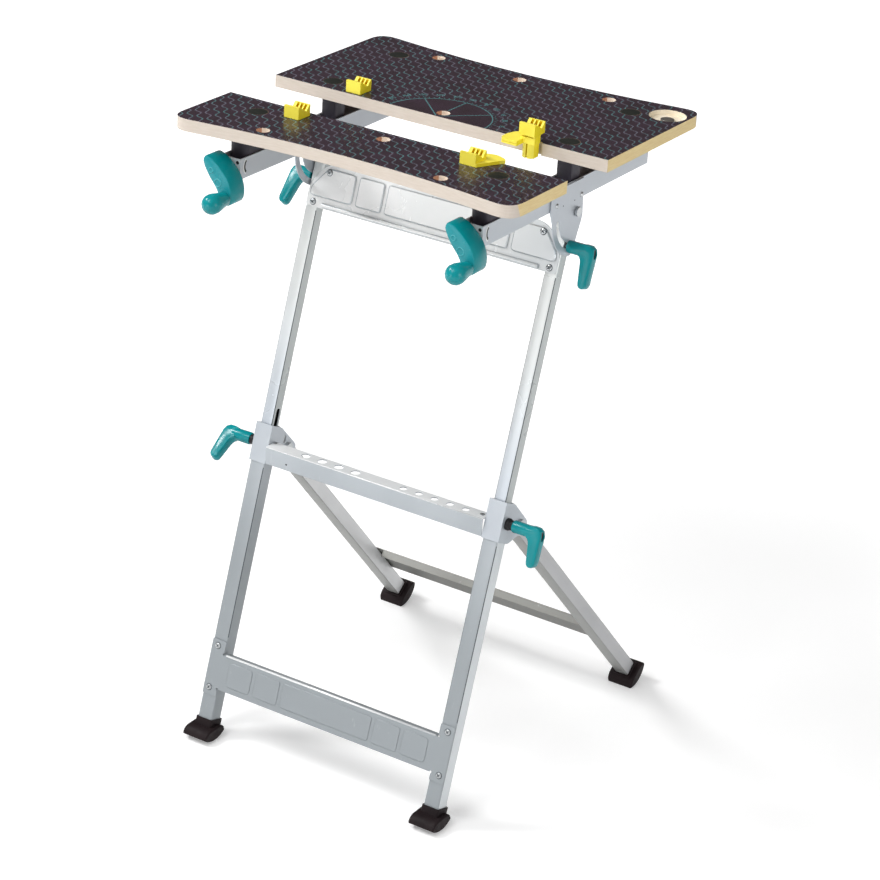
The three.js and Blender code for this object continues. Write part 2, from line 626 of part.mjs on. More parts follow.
// Swept arm: narrow above the hub, bulging outwards and hooked at the grip end.
function crankArm() {
  const shape = new THREE.Shape();
  shape.moveTo(-20, 17);
  shape.quadraticCurveTo(-20, 26, -12, 26);
  shape.bezierCurveTo(0, 24, 13, 11, 22, 1);
  shape.bezierCurveTo(28, -8, 31, -19, 30, -28);
  shape.bezierCurveTo(30, -36, 25, -41, 19, -41);
  shape.bezierCurveTo(11, -41, 8, -36, 7.5, -29);
  shape.bezierCurveTo(6.5, -20, -1, -13, -7, -6);
  shape.bezierCurveTo(-13, 2, -18, 9, -20, 17);
  const arm = prism(shape, X_AXIS, Z_AXIS, ZERO, -CRANK_Y[1], -CRANK_Y[0], { bevel: 4, bevelSegments: 2, segments: 4 });
  const bore = rod(SPINDLE_R + GAP, Y_AXIS, ZERO, CRANK_Y[1] - 15.4, CRANK_Y[1] + 2, 20);
  const pin = rod(4, Y_AXIS, new THREE.Vector3(GRIP_AT[0], 0, GRIP_AT[1]), GRIP_END_Y + 14, CRANK_Y[0] + 6, 12);
  return arm.subtract(bore).add(pin);
}

function crankGrip() {
  const face = CRANK_Y[0] - GAP;
  const bulb = GRIP_END_Y + GRIP_R;
  const profile = [[0, GRIP_END_Y]];
  for (let i = 1; i <= 6; i++) {
    const turn = i / 6 * Math.PI / 2;
    profile.push([GRIP_R * Math.sin(turn), bulb - GRIP_R * Math.cos(turn)]);
  }
  profile.push([GRIP_R * 0.985, bulb + 4], [GRIP_R * 0.93, bulb + 9], [GRIP_R * 0.84, bulb + 15]);
  profile.push([GRIP_R * 0.76, bulb + 21], [GRIP_R * 0.7, face - 1], [GRIP_R * 0.66, face]);
  profile.push([4 + GAP, face], [4 + GAP, GRIP_END_Y + 13.4], [0, GRIP_END_Y + 13.4]);
  return turned(profile, Y_AXIS, new THREE.Vector3(GRIP_AT[0], 0, GRIP_AT[1]), 16);
}

for (const [side, x] of [['l', -RAIL_X], ['r', RAIL_X]]) {
  const crank = body('crank_' + side);
  add(crank, 'spindle_' + side, geometryOf(spindle()).translate(x - RAIL_X, 0, 0), 'zinc');
  add(crank, 'crank_arm_' + side, geometryOf(crankArm()).translate(x, 0, SPINDLE_Z), 'teal');
  add(crank, 'crank_grip_' + side, geometryOf(crankGrip()).translate(x, 0, SPINDLE_Z), 'teal');
}

// Clamping levers: a round hub on the bolt and an arm that runs down past an oval cap recess.
function lever(hub, drop) {
  const shape = new THREE.Shape();
  shape.moveTo(hub - 12, -8);
  shape.lineTo(hub - 4, -9.6);
  shape.bezierCurveTo(hub + 6, -11, hub + 12, -7, hub + 12.4, 2);
  shape.lineTo(hub + 11.4, drop - 8);
  shape.quadraticCurveTo(hub + 10, drop, hub + 4, drop);
  shape.quadraticCurveTo(hub - 2.4, drop, hub - 3, drop - 8);
  shape.lineTo(hub - 6, 18);
  shape.quadraticCurveTo(hub - 7, 10, hub - 12, 8.6);
  shape.closePath();
  const arm = prism(shape, X_AXIS, new THREE.Vector3(0, 0, -1), ZERO, -8, 8, { bevel: 2.6, segments: 3 });
  const barrel = turned([[0, 0], [8.6, 0], [9.4, 2], [9.2, hub - 6], [8, hub + 2], [0, hub + 2]], X_AXIS, ZERO, 16);
  const bore = rod(BOLT_HOLE_R, X_AXIS, ZERO, -2, hub - 9, 12);
  const cap = rod(1, X_AXIS, ZERO, hub + 9.8, hub + 14, 18);
  const oval = geometryOf(cap).scale(1, 4.4, 7).translate(0, 0, -2);
  return arm.add(barrel).subtract(bore).subtract(solid(oval));
}

// Places a lever with its hub start at x on the leg, turned forward about the bolt.
function placedLever(geometry, s, x, forward, left) {
  const turned0 = geometry.clone();
  turned0.rotateX(-FRONT_LEAN - forward);
  const at = front.at(s, 0, 0);
  const moved = left ? mirrored(turned0.translate(x, 0, 0)) : turned0.translate(x, 0, 0);
  return moved.translate(0, at.y, at.z);
}

const heightLever = geometryOf(lever(36, 49.5));
const bushX = LEG_X + LOWER_TUBE / 2 + 2.1;
const tiltX = RAIL_X + RAIL_W / 2 + 2.6;
const screwFrom = UPPER_TUBE / 2 + GAP;
for (const [side, left, heightTurn, tiltTurn, tiltHub] of [['r', false, 0, 0, 31], ['l', true, 37, 25, 23]]) {
  const low = body('height_lever_' + side + '_turn');
  const bush = turned([[BOLT_HOLE_R, 0], [9, 0], [9, 4], [7.6, 6], [7.6, 11], [BOLT_HOLE_R, 11], [BOLT_HOLE_R, 0]],
    X_AXIS, front.at(HEIGHT_CLAMP_S, 0, bushX), 14);
  const bushing = geometryOf(bush);
  add(low, 'height_bushing_' + side, left ? mirrored(bushing) : bushing, 'black');
  const screw = geometryOf(rod(BOLT_R, X_AXIS, front.at(HEIGHT_CLAMP_S, 0, LEG_X), screwFrom, screwFrom + 29, 12));
  add(low, 'height_clamp_screw_' + side, left ? mirrored(screw) : screw, 'zinc');
  add(low, 'height_lever_' + side, placedLever(heightLever, HEIGHT_CLAMP_S, bushX + 11.3,
    THREE.MathUtils.degToRad(heightTurn), left), 'teal');
  const high = body('tilt_lever_' + side + '_turn');
  add(high, 'tilt_lever_' + side, placedLever(geometryOf(lever(tiltHub, 53)), TILT_PIVOT_S - TILT_CLAMP_R, tiltX,
    THREE.MathUtils.degToRad(tiltTurn), left), 'teal');
}

// Bench dogs
const DOG_LENGTH = 25;
const DOG_DEPTH = 28;

function dogBlock(z) {
  const half = DOG_DEPTH / 2;
  const section = outline([[-half, z], [half, z], [half, z + 16.8], [half - 2, 16.8 + z], [half - 9.5, z + 8.6],
    [4 - half, z + 17.6], [-half, z + 17.6]]);
  let block = alongX(section, -DOG_LENGTH / 2, DOG_LENGTH / 2);
  for (const x of [-5.4, 1, 7.4]) {
    block = block.subtract(alongX(rectangle(half - 10, z + 9.4, half - 2.4, z + 20), x - 2, x + 2));
  }
  return block;
}

function dogPeg(radius, z0, z1) {
  const profile = [[0, z0], [radius - 1.4, z0], [radius, z0 + 3], [radius, z1], [0, z1]];
  const split = alongX(rectangle(-1.6, z0 - 2, 1.6, z1 - 12), -radius - 3, radius + 3);
  return turned(profile, Z_AXIS, ZERO, 16).subtract(split);
}

function plainDog() {
  return dogBlock(GAP).add(dogPeg(DOG_HOLE_R - 0.4, -17.5, GAP + 1));
}

function tailedDog() {
  const tail = outline([[-8, -6], [12, -14], [14, -14], [30, 19], [36, 25], [32, 31], [14, 39], [-2, 33]],
    [2, 2, 3, 3, 3, 4, 8, 6]);
  return plainDog().add(alongZ(tail, GAP, GAP + 4.6, { segments: 4 }));
}

function edgeDog() {
  const flap = new THREE.Shape();
  flap.absarc(-1.5, -18.5, 36, Math.PI / 2, Math.PI * 1.5, false);
  flap.closePath();
  const web = alongZ(rectangle(-11, 2, 11, 12), 9, 15);
  return dogBlock(13.6)
    .add(alongZ(flap, 5.8, 11.8, { segments: 10, bevel: 1, bevelSegments: 1 }))
    .add(dogPeg(EDGE_DOG_R - 0.6, -20, 11.8))
    .add(web);
}

const dogs = [['dog_front_l', plainDog(), [-DOG_X, FRONT_DOG_Y]], ['dog_front_r', tailedDog(), [DOG_X, FRONT_DOG_Y]],
  ['dog_rear_l', plainDog(), [-DOG_X, REAR_DOG_Y]], ['dog_rear_r', edgeDog(), EDGE_DOG]];
for (const [name, dog, [x, y]] of dogs) {
  add(body(name + '_turn'), name, geometryOf(dog).translate(x, y, TABLE_Z), 'yellow');
}

export default bench;
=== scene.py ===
"""Looks of the folding workbench: a finish for every solid, its small fittings, studio and camera.

Metres, +Z up, the user stands on the -Y side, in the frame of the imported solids. Places of fittings are
given in millimetres, measured from the middle of the rear jaw's front edge.
"""
import json
import math

import bpy
from mathutils import Matrix, Vector


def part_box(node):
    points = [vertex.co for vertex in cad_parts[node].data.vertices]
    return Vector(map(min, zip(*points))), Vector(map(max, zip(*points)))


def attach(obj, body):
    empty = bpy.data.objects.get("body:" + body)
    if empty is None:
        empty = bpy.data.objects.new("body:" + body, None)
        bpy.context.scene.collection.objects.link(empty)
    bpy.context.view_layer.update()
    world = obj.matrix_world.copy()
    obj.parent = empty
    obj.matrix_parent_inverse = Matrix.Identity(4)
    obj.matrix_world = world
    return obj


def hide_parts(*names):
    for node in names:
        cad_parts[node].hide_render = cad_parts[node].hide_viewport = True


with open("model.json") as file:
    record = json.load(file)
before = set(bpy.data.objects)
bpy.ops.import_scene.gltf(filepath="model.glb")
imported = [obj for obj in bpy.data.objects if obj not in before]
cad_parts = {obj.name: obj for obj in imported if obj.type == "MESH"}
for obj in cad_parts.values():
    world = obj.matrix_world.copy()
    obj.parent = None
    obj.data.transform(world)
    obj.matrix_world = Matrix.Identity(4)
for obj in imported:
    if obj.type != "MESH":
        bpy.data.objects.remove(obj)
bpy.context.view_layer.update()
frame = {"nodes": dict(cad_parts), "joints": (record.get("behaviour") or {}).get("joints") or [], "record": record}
nodes = frame["nodes"]

MM = 0.001
SHIFT_Y = 20
SIDES = {"l": -1, "r": 1}

# Front legs: lean and floor point, and how far the panels' outer faces stand off the legs' axes
LEAN = math.radians(16.8)
LEG_FLOOR_Y = -231.1
LEG_X = 203.6
LOWER_SHEET = 14.3
UPPER_SHEET = 11.8
UPPER_FIELD = 14.3
# Inside of the upper tubes, measured from their axes: faces there are painted black, for the shade in the tubes
UPPER_TUBE_INSIDE = 8.8

# Lines along the corners of the leg tubes
EDGE_INSET = 0.8
EDGE_LINE = 1.3

# Cranks: front face of the arms and height of their axes
CRANK_FRONT_Y = -252
SPINDLE_Z = 902

# Board features, seen from above
TABLE_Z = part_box("rear_jaw")[1].z
JAW_FRONT_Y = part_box("rear_jaw")[0].y
HOLE_R = 10 * MM
# Bore walls that do not face away from this side are painted in a lit cream, the others in a shaded brown: painted
# light and shade
PAINTED_LIGHT_BORE_SIDE = Vector((-0.84, -0.54, 0))
RECESS_CENTRE = Vector((246, 226 - SHIFT_Y)) * MM
RECESS_R = 27 * MM
PLUG_R = 14.8
PLUGS = {"table": [(-198, 33), (198, 33), (-198, 204), (198, 204)], "jaw_slide": [(-197, -153), (197, -153)]}

# Protractor printed round the middle of the rear jaw's front edge
DIAL_R = 79
DIAL_CLEAR = 88 * MM
DIAL_LINE = 1.5
LABEL_R = 93
PRINT_LIFT = 0.05

# Film print: soft stair-stepped lines down the board's diagonal; step along X and Y, sway and line width
STROKE_STEP = (17.3 * MM, 19 * MM)
STROKE_SWAY = 0.25
STROKE_WIDTH = 1.8 * MM

# Camera that took the picture
CAMERA_EYE = Vector((2.0162, -3.2667, 2.2321))
CAMERA_RIGHT = Vector((0.8391, 0.5411, 0.0555))
CAMERA_UP = Vector((-0.2694, 0.3249, 0.9066))
CAMERA_BACK = Vector((0.4726, -0.7757, 0.4183))
CAMERA_LENS = 116.83


def place(x, y, z):
    """A point of the bench, given in millimetres from the rear jaw's front edge."""
    return Vector((x, y - SHIFT_Y, z)) * MM


LEG_UP = Vector((0, math.sin(LEAN), math.cos(LEAN)))
LEG_OUT = Vector((0, -math.cos(LEAN), math.sin(LEAN)))


def on_leg(x, s, out):
    """A point s up the front legs' line and out from their axes, in millimetres."""
    return place(x, LEG_FLOOR_Y, 0) + (LEG_UP * s + LEG_OUT * out) * MM


def colour(code):
    """Linear RGBA of a display colour such as '#c5cad2'."""
    parts = [int(code[i:i + 2], 16) / 255 for i in (1, 3, 5)]
    return tuple(p / 12.92 if p <= 0.04045 else ((p + 0.055) / 1.055) ** 2.4 for p in parts) + (1.0,)


class Finish:
    """A material of shader nodes around one principled shader."""

    def __init__(self, name, **values):
        self.material = bpy.data.materials.new(name)
        self.material.use_nodes = True
        self.tree = self.material.node_tree
        self.shader = self.tree.nodes["Principled BSDF"]
        self.place = self.node("ShaderNodeTexCoord").outputs["Object"]
        for socket, value in values.items():
            self.put(socket.replace("_", " "), value)

    def node(self, kind, **settings):
        made = self.tree.nodes.new(kind)
        for key, value in settings.items():
            setattr(made, key, value)
        return made

    def feed(self, socket, value):
        if isinstance(value, bpy.types.NodeSocket):
            self.tree.links.new(value, socket)
        else:
            socket.default_value = value

    def put(self, name, value):
        self.feed(self.shader.inputs[name], value)

    def math(self, operation, *values):
        made = self.node("ShaderNodeMath", operation=operation)
        for socket, value in zip(made.inputs, values):
            self.feed(socket, value)
        return made.outputs[0]

    def axis(self, letter):
        split = self.node("ShaderNodeSeparateXYZ")
        self.feed(split.inputs[0], self.place)
        return split.outputs[letter]

    def squares(self, first, second):
        return self.math("ADD", self.math("MULTIPLY", first, first), self.math("MULTIPLY", second, second))

    def noise(self, scale, detail=3.0, stretch=(1, 1, 1)):
        scaled = self.node("ShaderNodeMapping")
        self.feed(scaled.inputs["Vector"], self.place)
        scaled.inputs["Scale"].default_value = stretch
        made = self.node("ShaderNodeTexNoise")
        self.feed(made.inputs["Vector"], scaled.outputs[0])
        made.inputs["Scale"].default_value = scale
        made.inputs["Detail"].default_value = detail
        return made.outputs["Fac"]

    def span(self, value, low, high, start=0.0, end=1.0):
        """Maps low..high of a value onto start..end, clamped and eased."""
        made = self.node("ShaderNodeMapRange", interpolation_type="SMOOTHSTEP")
        for name, given in (("Value", value), ("From Min", low), ("From Max", high), ("To Min", start),
                            ("To Max", end)):
            self.feed(made.inputs[name], given)
        return made.outputs["Result"]

    def mix(self, factor, first, second):
        made = self.node("ShaderNodeMix", data_type="RGBA")
        self.feed(made.inputs[0], factor)
        self.feed(made.inputs[6], first)
        self.feed(made.inputs[7], second)
        return made.outputs[2]

    def bump(self, height, strength, distance):
        made = self.node("ShaderNodeBump")
        made.inputs["Strength"].default_value = strength
        made.inputs["Distance"].default_value = distance
        self.feed(made.inputs["Height"], height)
        self.put("Normal", made.outputs[0])


def coated_steel(name, light, dark, metallic, rough, grain, shade_fade=None):
    """Silver coating: faint clouding, fine orange peel and a few handling scuffs.

    The last argument, if given, is painted shade: an axis and a darker colour, with the places along the axis where it
    is full and where it is gone.
    """
    finish = Finish(name, Metallic=metallic)
    cloud = finish.noise(9, 4)
    scuff = finish.span(finish.noise(160, 5, (1, 1, 0.2)), 0.64, 0.78)
    tone = finish.mix(finish.span(cloud, 0.3, 0.7), colour(dark), colour(light))
    # Painted shade: the tone turns to the darker colour along one axis
    if shade_fade:
        axis, far, full, gone = shade_fade
        tone = finish.mix(finish.span(finish.axis(axis), full, gone), colour(far), tone)
    finish.put("Base Color", finish.mix(finish.math("MULTIPLY", scuff, 0.10), tone, colour("#f2f4f5")))
    finish.put("Roughness", finish.span(finish.math("ADD", cloud, finish.math("MULTIPLY", scuff, 0.3)), 0.3, 0.9,
                                        rough - 0.05, rough + 0.08))
    finish.bump(finish.noise(grain, 2), 0.10, 0.0003)
    return finish.material


def moulded_plastic(name, light, dark, rough, grain, shine=0.4):
    """Moulded plastic: fine spark-eroded grain and a slow drift of tone."""
    finish = Finish(name, **{"Specular IOR Level": shine})
    drift = finish.noise(22, 3)
    finish.put("Base Color", finish.mix(finish.span(drift, 0.3, 0.7), colour(dark), colour(light)))
    finish.put("Roughness", finish.span(finish.noise(90, 4), 0.3, 0.7, rough - 0.05, rough + 0.07))
    finish.bump(finish.noise(grain, 2), 0.15, 0.0004)
    return finish.material


def stair_strokes(finish):
    """1 on the printed lines: a wave along the diagonal, with every second line half a wave behind."""
    u = finish.math("DIVIDE", finish.axis("X"), STROKE_STEP[0])
    v = finish.math("DIVIDE", finish.axis("Y"), STROKE_STEP[1])
    along = finish.math("SUBTRACT", u, v)
    across = finish.math("ADD", u, v)
    sway = finish.math("MULTIPLY", finish.math("SINE", finish.math("MULTIPLY", along, math.pi)), STROKE_SWAY)
    even = finish.math("PINGPONG", finish.math("SUBTRACT", across, sway), 1)
    odd = finish.math("PINGPONG", finish.math("ADD", finish.math("SUBTRACT", across, 1), sway), 1)
    spread = math.hypot(1 / STROKE_STEP[0], 1 / STROKE_STEP[1])
    away = finish.math("DIVIDE", finish.math("MINIMUM", even, odd), spread)
    return finish.span(away, STROKE_WIDTH * 0.3, STROKE_WIDTH * 0.75, 1.0, 0.0)


def film(name, printed):
    """Phenolic film on the boards: dark and slightly glossy, printed above and plain brown below."""
    finish = Finish(name, **{"Specular IOR Level": 0.4})
    cloud = finish.noise(30, 4)
    dark, light = ("#35282f", "#3c2d38") if printed else ("#6b503f", "#7a5d4a")
    tone = finish.mix(finish.span(cloud, 0.3, 0.7), colour(dark), colour(light))
    if printed:
        worn = finish.span(finish.noise(60, 4), 0.3, 0.7, 0.75, 1.0)
        x = finish.axis("X")
        y = finish.math("SUBTRACT", finish.axis("Y"), JAW_FRONT_Y)
        clear = finish.span(finish.math("SQRT", finish.squares(x, y)), DIAL_CLEAR, DIAL_CLEAR + MM)
        ink = finish.math("MULTIPLY", finish.math("MULTIPLY", stair_strokes(finish), worn), clear)
        hue = finish.mix(finish.span(finish.noise(45, 2), 0.4, 0.6), colour("#587d80"), colour("#6d6a78"))
        tone = finish.mix(ink, tone, hue)
    finish.put("Base Color", tone)
    finish.put("Roughness", finish.span(finish.noise(140, 4), 0.3, 0.7, 0.24, 0.32))
    finish.bump(finish.noise(1400, 2), 0.06, 0.0002)
    return finish.material


def ply(name, light, dark, stripes):
    """Sawn plywood edge: fine fibres along the board and soft veneer lines."""
    finish = Finish(name)
    fibre = finish.noise(60, 5, (1, 1, 9))
    layer = finish.math("PINGPONG", finish.axis("Z"), 1.1 * MM)
    line = finish.span(layer, 0.0, 0.35 * MM, stripes, 0.0)
    tone = finish.mix(finish.span(fibre, 0.3, 0.7), colour(dark), colour(light))
    finish.put("Base Color", finish.mix(line, tone, colour("#c9ab7e")))
    finish.put("Roughness", finish.span(fibre, 0.3, 0.7, 0.55, 0.72))
    finish.bump(fibre, 0.25, 0.0003)
    return finish.material


FINISH = {
    "coat": coated_steel("silver_coat", "#bfc5cb", "#b7bdc4", 0.3, 0.4, 900),
    # Painted shade: a darker copy of the silver coat for the lower parts, darkening further towards the floor
    "base_coat_painted_shade": coated_steel("base_silver_coat_painted_shade", "#b2b8bd", "#a9afb4", 0.3, 0.4, 900, ("Z", "#979da1", 0.25, 0.46)),
    # Painted light: a lighter copy of the silver coat for the top of the tray
    "tray_top_painted_light": coated_steel("tray_top_painted_light", "#eef0f1", "#e6e9ea", 0.2, 0.35, 900),
    # Painted light: a lighter copy of the silver coat for the lit flank of the right lower leg and the fronts of the
    # rails
    "coat_painted_light": coated_steel("silver_coat_painted_light", "#d9dee1", "#d0d5d8", 0.3, 0.4, 900),
    # Painted light and shade on the rear legs: lit copies for their flanks, a lighter one on the left, a dark copy for
    # the faces in shade, and the darkest copy as the painted shade of the rear panel
    "rear_leg_side_l": coated_steel("rear_leg_side_left_painted_light", "#e2e3e4", "#d8d9da", 0.3, 0.42, 900),
    "rear_leg_side_r": coated_steel("rear_leg_side_right_painted_light", "#bebfc1", "#b4b5b7", 0.3, 0.42, 900),
    "rear_leg_face_painted_shade": coated_steel("rear_leg_face_painted_shade", "#969795", "#8d8e8c", 0.3, 0.42, 900),
    "rear_coat_painted_shade": coated_steel("rear_silver_coat_painted_shade", "#757571", "#6b6b67", 0.3, 0.42, 900),
    # Bright steel of the upper legs, with painted shade: bluish grey towards their lower ends
    "bright": coated_steel("bright_steel", "#e3e6e5", "#dbdedd", 0.3, 0.3, 500, ("Z", "#c3cad2", 0.44, 0.74)),
    # Painted shade: a greyer copy for the flanks of the upper legs
    "bright_side_painted_shade": coated_steel("bright_steel_side_painted_shade", "#bcc1c1", "#b3b8b8", 0.3, 0.3, 500),
    # Bright steel of the upper panel, painted lighter to lift the shade of the boards above it, with painted shade
    # towards its right end; also the white of the painted highlights along the folded edges
    "panel": coated_steel("bright_panel_painted_light", "#fafbfb", "#f3f5f5", 0.2, 0.26, 500, ("X", "#d0d4d6", 0.21, 0.02)),
    # Painted shade: a darker copy for the walls of the pressed fields
    "field_wall_painted_shade": coated_steel("bright_steel_field_wall_painted_shade", "#ccd1d4", "#c2c8cb", 0.4, 0.3, 500),
    "zinc": coated_steel("zinc_plate", "#c4c7c8", "#b2b6b9", 0.9, 0.3, 1200),
    "corner_line": coated_steel("corner_line", "#4f565a", "#454c50", 0.3, 0.5, 900),
    # Painted shade: dark rings round the screw heads and the bottoms of their cross recesses
    "seat": coated_steel("screw_painted_shadow", "#555b5f", "#484e52", 0.5, 0.4, 900),
    "teal": moulded_plastic("teal_plastic", "#008f95", "#008288", 0.2, 1500, 0.3),
    # Painted light: a lighter copy of the teal for the front faces of the crank arms
    "teal_face_painted_light": moulded_plastic("teal_plastic_painted_light", "#1f959e", "#168b94", 0.25, 1500, 0.3),
    # Painted highlight: a light teal for the moulded rings on the cranks
    "teal_ring_painted_highlight": moulded_plastic("teal_plastic_painted_highlight", "#4bb0b7", "#40a5ac", 0.25, 1500, 0.3),
    "yellow": moulded_plastic("yellow_plastic", "#fff05a", "#fae84c", 0.45, 1500, 0.3),
    # Painted shade: a golden copy of the yellow for the dogs' flanks, and a darker one inside their slots
    "yellow_side_painted_shade": moulded_plastic("yellow_plastic_painted_shade", "#ffea2c", "#fae024", 0.45, 1500, 0.3),
    "yellow_slot_painted_shade": moulded_plastic("yellow_plastic_slot_painted_shade", "#d9b90c", "#c7a508", 0.5, 1500, 0.2),
    "magnet": coated_steel("magnet_steel", "#7c7874", "#6c6865", 0.5, 0.4, 900),
    "foot": moulded_plastic("foot_rubber", "#221719", "#191113", 0.6, 1100, 0.2),
    "charcoal": moulded_plastic("charcoal_plastic", "#3c3943", "#322f38", 0.5, 1300, 0.3),
    "black": moulded_plastic("black_plastic", "#211f22", "#19181a", 0.5, 1300, 0.3),
    "plug": moulded_plastic("plug_plastic", "#292b26", "#21231f", 0.5, 1300, 0.3),
    "plug_rim": moulded_plastic("plug_bore_edge", "#6b5a50", "#5c4d45", 0.6, 1300, 0.2),
    "ink": moulded_plastic("print_ink", "#5e9092", "#548487", 0.4, 1500, 0.3),
    "film": film("board_film", True),
    "film_plain": film("board_film_plain", False),
    "edge": ply("ply_edge", "#d8cdc2", "#d1c5b8", 0.12),
    "end": ply("ply_end", "#ecd7a2", "#e3c98e", 0.12),
    # Bore walls in two copies: painted shade in brown, painted light in cream
    "bore": ply("ply_bore_painted_shade", "#c59377", "#b58065", 0.3),
    "bore_painted_light": ply("ply_bore_painted_light", "#f6eadb", "#ecdcc8", 0.1),
    # Milled plywood of the recess, without veneer lines, painted lighter than the edges to lift the shade in the hollow
    "recess": ply("ply_recess_painted_light", "#f8efdd", "#efe3cb", 0.0),
}


def smoothing_group():
    """Geometry nodes that merge doubled corners and keep only edges sharper than the limit hard."""
    group = bpy.data.node_groups.new("smooth_rounds", "GeometryNodeTree")
    group.interface.new_socket("Geometry", in_out="INPUT", socket_type="NodeSocketGeometry")
    group.interface.new_socket("Geometry", in_out="OUTPUT", socket_type="NodeSocketGeometry")
    new, link = group.nodes.new, group.links.new
    start, end = new("NodeGroupInput"), new("NodeGroupOutput")
    merge = new("GeometryNodeMergeByDistance")
    merge.inputs["Distance"].default_value = 0.002 * MM
    angle = new("GeometryNodeInputMeshEdgeAngle")
    sharp = new("FunctionNodeCompare")
    sharp.operation = "GREATER_THAN"
    sharp.inputs[1].default_value = math.radians(33)
    faces = new("GeometryNodeSetShadeSmooth")
    edges = new("GeometryNodeSetShadeSmooth")
    edges.domain = "EDGE"
    edges.inputs["Shade Smooth"].default_value = False
    link(start.outputs[0], merge.inputs[0])
    link(merge.outputs[0], faces.inputs[0])
    link(faces.outputs[0], edges.inputs[0])
    link(angle.outputs["Unsigned Angle"], sharp.inputs[0])
    link(sharp.outputs[0], edges.inputs["Selection"])
    link(edges.outputs[0], end.inputs[0])
    return group


SMOOTH = smoothing_group()


def soften(piece, width=0.35 * MM):
    rounds = piece.modifiers.new("rounds", "NODES")
    rounds.node_group = SMOOTH
    break_edge = piece.modifiers.new("edge_break", "BEVEL")
    break_edge.width = width
    break_edge.segments = 2
    break_edge.limit_method = "ANGLE"
    break_edge.angle_limit = math.radians(40)
    break_edge.use_clamp_overlap = True
    break_edge.harden_normals = False


def dress(node, *finishes):
    """Gives a solid its finishes, merged corners, smooth rounds and a fine break on every sharp edge."""
    piece = nodes[node]
    piece.data.materials.clear()
    for name in finishes:
        piece.data.materials.append(FINISH[name])
    soften(piece)
    return piece


def dress_board(node):
    """Film on the faces, raw plywood on the edges, bores and recess; painted light and shade on the bore walls, and the
    recess painted lighter.
    """
    piece = dress(node, "film", "film_plain", "edge", "end", "bore", "recess", "bore_painted_light")
    low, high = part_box(node)
    for face in piece.data.polygons:
        centre = face.center
        from_recess = (centre.xy - RECESS_CENTRE).length
        inside = min(centre.x - low.x, high.x - centre.x)
        if face.normal.z > 0.9:
            face.material_index = 0 if centre.z > TABLE_Z - MM else 5
        elif face.normal.z < -0.9:
            face.material_index = 1
        # Recess: milled plywood painted lighter, to lift the shade in the hollow
        elif node == "rear_jaw" and from_recess < RECESS_R + MM:
            face.material_index = 5
        elif abs(face.normal.x) > 0.8 and inside < MM:
            face.material_index = 3
        # Bore walls: painted light on the side toward the lamps, painted shade on the rest
        elif in_bore(centre):
            face.material_index = 6 if face.normal.dot(PAINTED_LIGHT_BORE_SIDE) > -0.3 else 4
        else:
            face.material_index = 2


def in_bore(point):
    """True on the wall of a dog hole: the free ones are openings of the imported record, dogs fill the rest."""
    centres = [sum((Vector(corner) for corner in opening["box_m"]), Vector()) / 2
               for opening in frame["record"]["physics"]["openings"] if opening["name"].startswith("dog_hole")]
    centres += [Vector(joint["pos_m"]) for joint in frame["joints"] if joint["name"].startswith("dog_")]
    return any((point.xy - centre.xy).length < HOLE_R + MM for centre in centres)


def dress_solids():
    groups = {
        "coat": ["leg_collar", "tilt_bracket"],
        "zinc": ["height_guide_bolt", "height_clamp_screw", "rear_pivot_bolt", "tilt_pivot_bolt", "tilt_clamp_bolt",
                 "spindle"],
        "teal": ["crank_grip", "height_lever", "tilt_lever"],
        "foot": ["front_foot", "rear_foot"],
        "charcoal": ["post_front", "post_rear", "jaw_slider"],
        "black": ["leg_guide", "height_bushing"],
    }
    for finish, stems in groups.items():
        for stem in stems:
            for side in SIDES:
                dress(f"{stem}_{side}", finish)
    # Painted shade: the lower panel and legs take the darker copy of the silver
    dress("lower_front_panel", "base_coat_painted_shade")
    dress("lower_leg_l", "base_coat_painted_shade")
    # Painted light on the right flank of the right lower leg
    tell_apart(dress("lower_leg_r", "base_coat_painted_shade", "coat_painted_light"), lambda normal: normal.x > 0.8)
    # Rear panel: painted shade on the faces that look less than a little to the rear, the lit copy of the rear legs'
    # flank on the rest
    tell_apart(dress("rear_panel", "rear_leg_side_r", "rear_coat_painted_shade"), lambda normal: normal.y < 0.3)
    dress("parts_magnet", "magnet")
    dress_board("rear_jaw")
    dress_board("front_jaw")
    for node in ("dog_front_l", "dog_front_r", "dog_rear_l"):
        shade_dog(dress(node, *DOG_FINISHES).data, dog_seat(node))
    for side in SIDES:
        dress_upper_leg(f"upper_leg_{side}")
        # Painted light on the front faces of the rails
        tell_apart(dress(f"rail_{side}", "coat", "coat_painted_light"), lambda normal: normal.y < -0.8)
        # Painted light on the front faces of the crank arms
        tell_apart(dress(f"crank_arm_{side}", "teal", "teal_face_painted_light"), lambda normal: normal.y < -0.9)
        # Rear legs: the lit copy on their flanks, painted shade on the other faces
        rear_leg = dress(f"rear_leg_{side}", "rear_leg_face_painted_shade", f"rear_leg_side_{side}")
        tell_apart(rear_leg, lambda normal: abs(normal.x) > 0.8)
    # Upper panel: painted lighter, with painted shade on the walls of its pressed fields
    tell_apart(dress("upper_panel", "panel", "field_wall_painted_shade"), lambda normal: abs(normal.dot(LEG_OUT)) < 0.9)
    # Tray: painted shade on its front, painted light on its top
    tray = dress("tool_tray", "coat", "base_coat_painted_shade", "tray_top_painted_light")
    tell_apart(tray, lambda normal: normal.y < -0.8, lambda normal: normal.z > 0.8)


def tell_apart(piece, *rules):
    """Gives a piece's second finish to the faces whose normal meets the first rule, its third by the second."""
    for face in piece.data.polygons:
        met = [number for number, rule in enumerate(rules, 1) if rule(face.normal)]
        face.material_index = met[0] if met else 0


